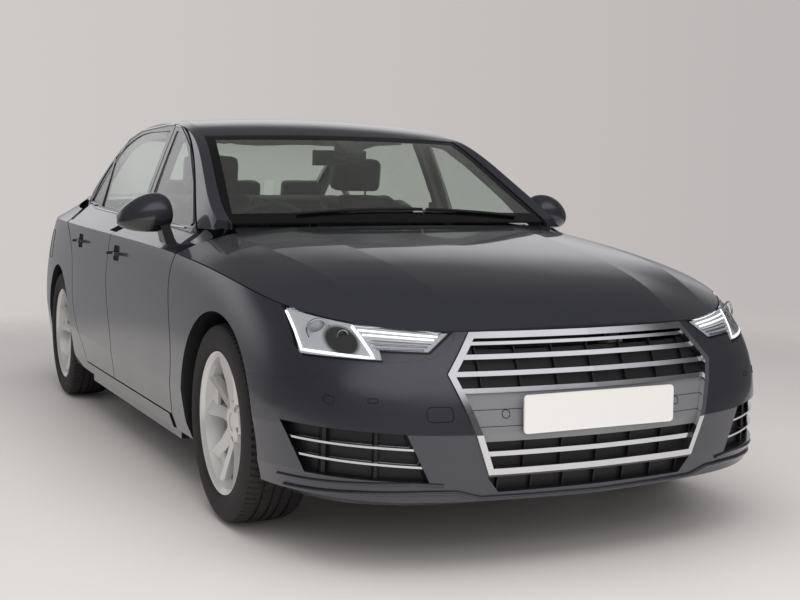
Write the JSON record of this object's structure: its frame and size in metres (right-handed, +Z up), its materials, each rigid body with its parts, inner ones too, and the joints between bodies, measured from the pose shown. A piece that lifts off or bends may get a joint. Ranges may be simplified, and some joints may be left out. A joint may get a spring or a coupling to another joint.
{
  "type": "four-door sedan car",
  "caption": "Mid-size sedan car with opening doors, bonnet and boot lid, steered front wheels and rolling alloy wheels",
  "frame": {"origin": "on the ground, under the middle of the car's length and width", "axes": "+X forward, +Y to the car's left, +Z up"},
  "size_m": [4.7198, 2.0152, 1.4228],
  "materials": {
    "alloy": "silver lacquer",
    "black_plastic": "grained black",
    "carpet": "black",
    "chrome": "polished",
    "glass": "clear, light grey tint",
    "iron": "cast",
    "lamp": "clear",
    "lamp_body": "silvered housing",
    "paint": "dark grey metallic",
    "plate": "white, blank",
    "seat": "dark grey",
    "steel": "bare",
    "tail_lamp": "red",
    "trim": "soft dark grey",
    "tyre": "rubber"
  },
  "bodies": {
    "body": {"body_side_left": "paint", "body_side_right": "paint", "roof_panel": "paint", "floor_pan": "paint", "wheel_liners": "black_plastic", "wing_left": "paint", "wing_right": "paint", "front_bumper": "paint", "grille_frame": "chrome", "grille_mesh": "black_plastic", "fog_grilles": "black_plastic", "headlamps": "lamp_body", "headlamp_lenses": "lamp", "engine_block": "iron", "windscreen": "glass", "rear_window": "glass", "rear_bumper": "paint", "tail_lamps": "tail_lamp", "front_seats": "seat", "rear_bench": "seat", "dashboard": "trim", "parcel_shelf": "carpet", "interior_mirror": "trim", "exhaust": "steel", "rear_axle": "steel", "front_suspension": "steel", "wipers": "black_plastic", "front_plate": "plate"},
    "front_left_door": {"door_front_left": "paint", "glass_front_left": "glass", "mirror_left": "paint"},
    "front_right_door": {"door_front_right": "paint", "glass_front_right": "glass", "mirror_right": "paint"},
    "rear_left_door": {"door_rear_left": "paint", "glass_rear_left": "glass"},
    "rear_right_door": {"door_rear_right": "paint", "glass_rear_right": "glass"},
    "bonnet": {"bonnet": "paint"},
    "boot_lid": {"boot_lid": "paint", "boot_lamps": "tail_lamp"},
    "left_knuckle": {"knuckle_left": "iron"},
    "right_knuckle": {"knuckle_right": "iron"},
    "steering_wheel": {"steering_wheel": "trim"},
    "front_left_wheel": {"tyre_front_left": "tyre", "rim_front_left": "alloy"},
    "front_right_wheel": {"tyre_front_right": "tyre", "rim_front_right": "alloy"},
    "rear_left_wheel": {"tyre_rear_left": "tyre", "rim_rear_left": "alloy"},
    "rear_right_wheel": {"tyre_rear_right": "tyre", "rim_rear_right": "alloy"}
  },
  "joints": [
    {"name": "front_left_door_hinge", "type": "hinge", "parent": "body", "child": "front_left_door", "pos_m": [0.87106, 0.89521, 0.5708], "axis": [0, 0, -1], "range_deg": [0, 62]},
    {"name": "front_right_door_hinge", "type": "hinge", "parent": "body", "child": "front_right_door", "pos_m": [0.87106, -0.89521, 0.5708], "axis": [0, 0, 1], "range_deg": [0, 62]},
    {"name": "rear_left_door_hinge", "type": "hinge", "parent": "body", "child": "rear_left_door", "pos_m": [-0.1667, 0.89521, 0.5708], "axis": [0, 0, -1], "range_deg": [0, 60]},
    {"name": "rear_right_door_hinge", "type": "hinge", "parent": "body", "child": "rear_right_door", "pos_m": [-0.1667, -0.89521, 0.5708], "axis": [0, 0, 1], "range_deg": [0, 60]},
    {"name": "bonnet_hinge", "type": "hinge", "parent": "body", "child": "bonnet", "pos_m": [0.91505, 0, 0.88003], "axis": [0, -1, 0], "range_deg": [0, 40]},
    {"name": "boot_lid_hinge", "type": "hinge", "parent": "body", "child": "boot_lid", "pos_m": [-1.67482, 0, 1.02612], "axis": [0, 1, 0], "range_deg": [0, 70]},
    {"name": "left_steer", "type": "hinge", "parent": "body", "child": "left_knuckle", "pos_m": [1.483, 0.78561, 0.32821], "axis": [0, 0, 1], "range_deg": [-35, 35]},
    {"name": "right_steer", "type": "hinge", "parent": "body", "child": "right_knuckle", "pos_m": [1.483, -0.78561, 0.32821], "axis": [0, 0, 1], "range_deg": [-35, 35]},
    {"name": "front_left_wheel_spin", "type": "hinge", "parent": "left_knuckle", "child": "front_left_wheel", "pos_m": [1.483, 0.78561, 0.32821], "axis": [0, 1, 0], "continuous": true},
    {"name": "front_right_wheel_spin", "type": "hinge", "parent": "right_knuckle", "child": "front_right_wheel", "pos_m": [1.483, -0.78561, 0.32821], "axis": [0, 1, 0], "continuous": true},
    {"name": "rear_left_wheel_spin", "type": "hinge", "parent": "body", "child": "rear_left_wheel", "pos_m": [-1.337, 0.77732, 0.32821], "axis": [0, 1, 0], "continuous": true},
    {"name": "rear_right_wheel_spin", "type": "hinge", "parent": "body", "child": "rear_right_wheel", "pos_m": [-1.337, -0.77732, 0.32821], "axis": [0, 1, 0], "continuous": true},
    {"name": "steering_wheel_turn", "type": "hinge", "parent": "body", "child": "steering_wheel", "pos_m": [0.4678, -0.3684, 0.8562], "axis": [-0.9119, 0, 0.4104], "range_deg": [-525, 525]}
  ],
  "couplings": [
    {"joint": "right_steer", "follows": "left_steer", "ratio": 1},
    {"joint": "steering_wheel_turn", "follows": "left_steer", "ratio": 15}
  ]
}
